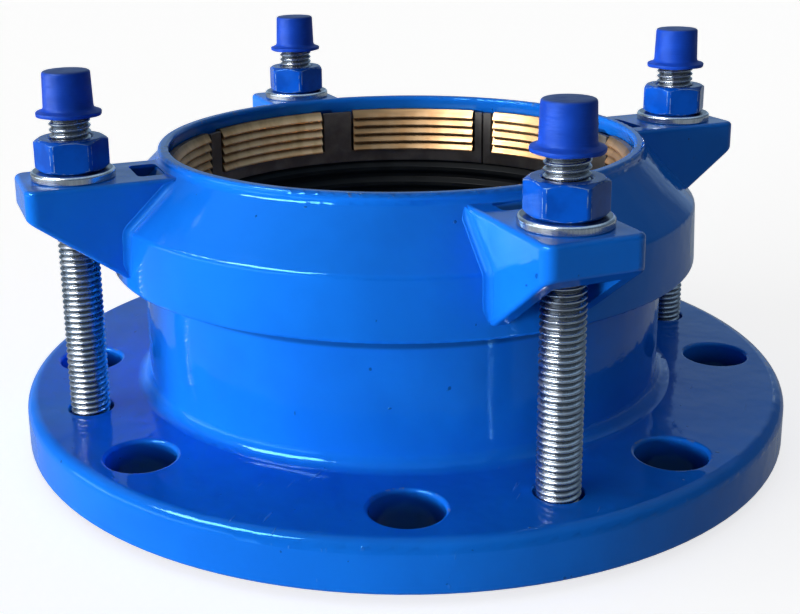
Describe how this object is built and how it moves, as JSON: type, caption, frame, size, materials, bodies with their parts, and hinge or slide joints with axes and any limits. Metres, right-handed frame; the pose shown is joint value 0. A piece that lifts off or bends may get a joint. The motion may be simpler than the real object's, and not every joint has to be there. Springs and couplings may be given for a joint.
{
  "type": "flange adaptor",
  "caption": "Restrained flange adaptor: drilled flange with a socket, wedge gasket, toothed grip ring and a flared gland drawn down by tie bolts.",
  "frame": {"origin": "centre of the raised sealing face, on its plane", "axes": "+Z along the pipe's axis, out of the socket; the tie bolts stand at 45 degrees from X"},
  "size_m": [0.28, 0.28, 0.1391],
  "materials": {
    "casting": "gloss",
    "rubber": "satin",
    "cage": "satin",
    "brass": "machined",
    "stainless": "satin",
    "nut_coating": "satin",
    "cap_plastic": "satin"
  },
  "bodies": {
    "root": {"flange_body": "casting", "gasket": "rubber", "tie_bolt_1": "stainless", "tie_bolt_2": "stainless", "tie_bolt_3": "stainless", "tie_bolt_4": "stainless"},
    "gland": {"gland": "casting", "washer_1": "stainless", "washer_2": "stainless", "washer_3": "stainless", "washer_4": "stainless"},
    "grip_cage": {"grip_cage": "cage"},
    "grip_segment_1": {"grip_segment_1": "brass"},
    "grip_segment_2": {"grip_segment_2": "brass"},
    "grip_segment_3": {"grip_segment_3": "brass"},
    "grip_segment_4": {"grip_segment_4": "brass"},
    "grip_segment_5": {"grip_segment_5": "brass"},
    "grip_segment_6": {"grip_segment_6": "brass"},
    "grip_segment_7": {"grip_segment_7": "brass"},
    "grip_segment_8": {"grip_segment_8": "brass"},
    "nut_1": {"nut_1": "nut_coating"},
    "end_cap_1": {"end_cap_1": "cap_plastic"},
    "nut_2": {"nut_2": "nut_coating"},
    "end_cap_2": {"end_cap_2": "cap_plastic"},
    "nut_3": {"nut_3": "nut_coating"},
    "end_cap_3": {"end_cap_3": "cap_plastic"},
    "nut_4": {"nut_4": "nut_coating"},
    "end_cap_4": {"end_cap_4": "cap_plastic"}
  },
  "joints": [
    {"name": "gland_slide", "type": "slide", "parent": "root", "child": "gland", "axis": [0, 0, -1], "range_m": [0, 0.006]},
    {"name": "cage_slide", "type": "slide", "parent": "root", "child": "grip_cage", "axis": [0, 0, -1], "range_m": [0, 0.0024], "deforming": ["gasket"]},
    {"name": "grip_segment_1_slide", "type": "slide", "parent": "grip_cage", "child": "grip_segment_1", "axis": [0.3057, -0.9521, 0], "range_m": [0, 0.00131]},
    {"name": "grip_segment_2_slide", "type": "slide", "parent": "grip_cage", "child": "grip_segment_2", "axis": [0.8988, -0.4384, 0], "range_m": [0, 0.00131]},
    {"name": "grip_segment_3_slide", "type": "slide", "parent": "grip_cage", "child": "grip_segment_3", "axis": [0.9588, 0.284, 0], "range_m": [0, 0.00131]},
    {"name": "grip_segment_4_slide", "type": "slide", "parent": "grip_cage", "child": "grip_segment_4", "axis": [0.454, 0.891, 0], "range_m": [0, 0.00131]},
    {"name": "grip_segment_5_slide", "type": "slide", "parent": "grip_cage", "child": "grip_segment_5", "axis": [-0.3338, 0.9426, 0], "range_m": [0, 0.00131]},
    {"name": "grip_segment_6_slide", "type": "slide", "parent": "grip_cage", "child": "grip_segment_6", "axis": [-0.9063, 0.4226, 0], "range_m": [0, 0.00131]},
    {"name": "grip_segment_7_slide", "type": "slide", "parent": "grip_cage", "child": "grip_segment_7", "axis": [-0.9483, -0.3173, 0], "range_m": [0, 0.00131]},
    {"name": "grip_segment_8_slide", "type": "slide", "parent": "grip_cage", "child": "grip_segment_8", "axis": [-0.4226, -0.9063, 0], "range_m": [0, 0.00131]},
    {"name": "nut_1_turn", "type": "hinge", "parent": "gland", "child": "nut_1", "pos_m": [0.08415, 0.08415, 0.106], "axis": [0, 0, 1], "range_deg": [-1080, 0]},
    {"name": "end_cap_1_pull", "type": "slide", "parent": "root", "child": "end_cap_1", "axis": [0, 0, 1], "range_m": [0, 0.016]},
    {"name": "nut_2_turn", "type": "hinge", "parent": "gland", "child": "nut_2", "pos_m": [-0.08415, 0.08415, 0.106], "axis": [0, 0, 1], "range_deg": [-1080, 0]},
    {"name": "end_cap_2_pull", "type": "slide", "parent": "root", "child": "end_cap_2", "axis": [0, 0, 1], "range_m": [0, 0.016]},
    {"name": "nut_3_turn", "type": "hinge", "parent": "gland", "child": "nut_3", "pos_m": [-0.08415, -0.08415, 0.106], "axis": [0, 0, 1], "range_deg": [-1080, 0]},
    {"name": "end_cap_3_pull", "type": "slide", "parent": "root", "child": "end_cap_3", "axis": [0, 0, 1], "range_m": [0, 0.016]},
    {"name": "nut_4_turn", "type": "hinge", "parent": "gland", "child": "nut_4", "pos_m": [0.08415, -0.08415, 0.106], "axis": [0, 0, 1], "range_deg": [-1080, 0]},
    {"name": "end_cap_4_pull", "type": "slide", "parent": "root", "child": "end_cap_4", "axis": [0, 0, 1], "range_m": [0, 0.016]}
  ],
  "couplings": [
    {"joint": "cage_slide", "follows": "gland_slide", "ratio": 0.4},
    {"joint": "grip_segment_1_slide", "follows": "gland_slide", "ratio": 0.21838},
    {"joint": "grip_segment_2_slide", "follows": "gland_slide", "ratio": 0.21838},
    {"joint": "grip_segment_3_slide", "follows": "gland_slide", "ratio": 0.21838},
    {"joint": "grip_segment_4_slide", "follows": "gland_slide", "ratio": 0.21838},
    {"joint": "grip_segment_5_slide", "follows": "gland_slide", "ratio": 0.21838},
    {"joint": "grip_segment_6_slide", "follows": "gland_slide", "ratio": 0.21838},
    {"joint": "grip_segment_7_slide", "follows": "gland_slide", "ratio": 0.21838},
    {"joint": "grip_segment_8_slide", "follows": "gland_slide", "ratio": 0.21838},
    {"joint": "nut_1_turn", "follows": "gland_slide", "rad_per_m": -3141.6},
    {"joint": "nut_2_turn", "follows": "gland_slide", "rad_per_m": -3141.6},
    {"joint": "nut_3_turn", "follows": "gland_slide", "rad_per_m": -3141.6},
    {"joint": "nut_4_turn", "follows": "gland_slide", "rad_per_m": -3141.6}
  ]
}
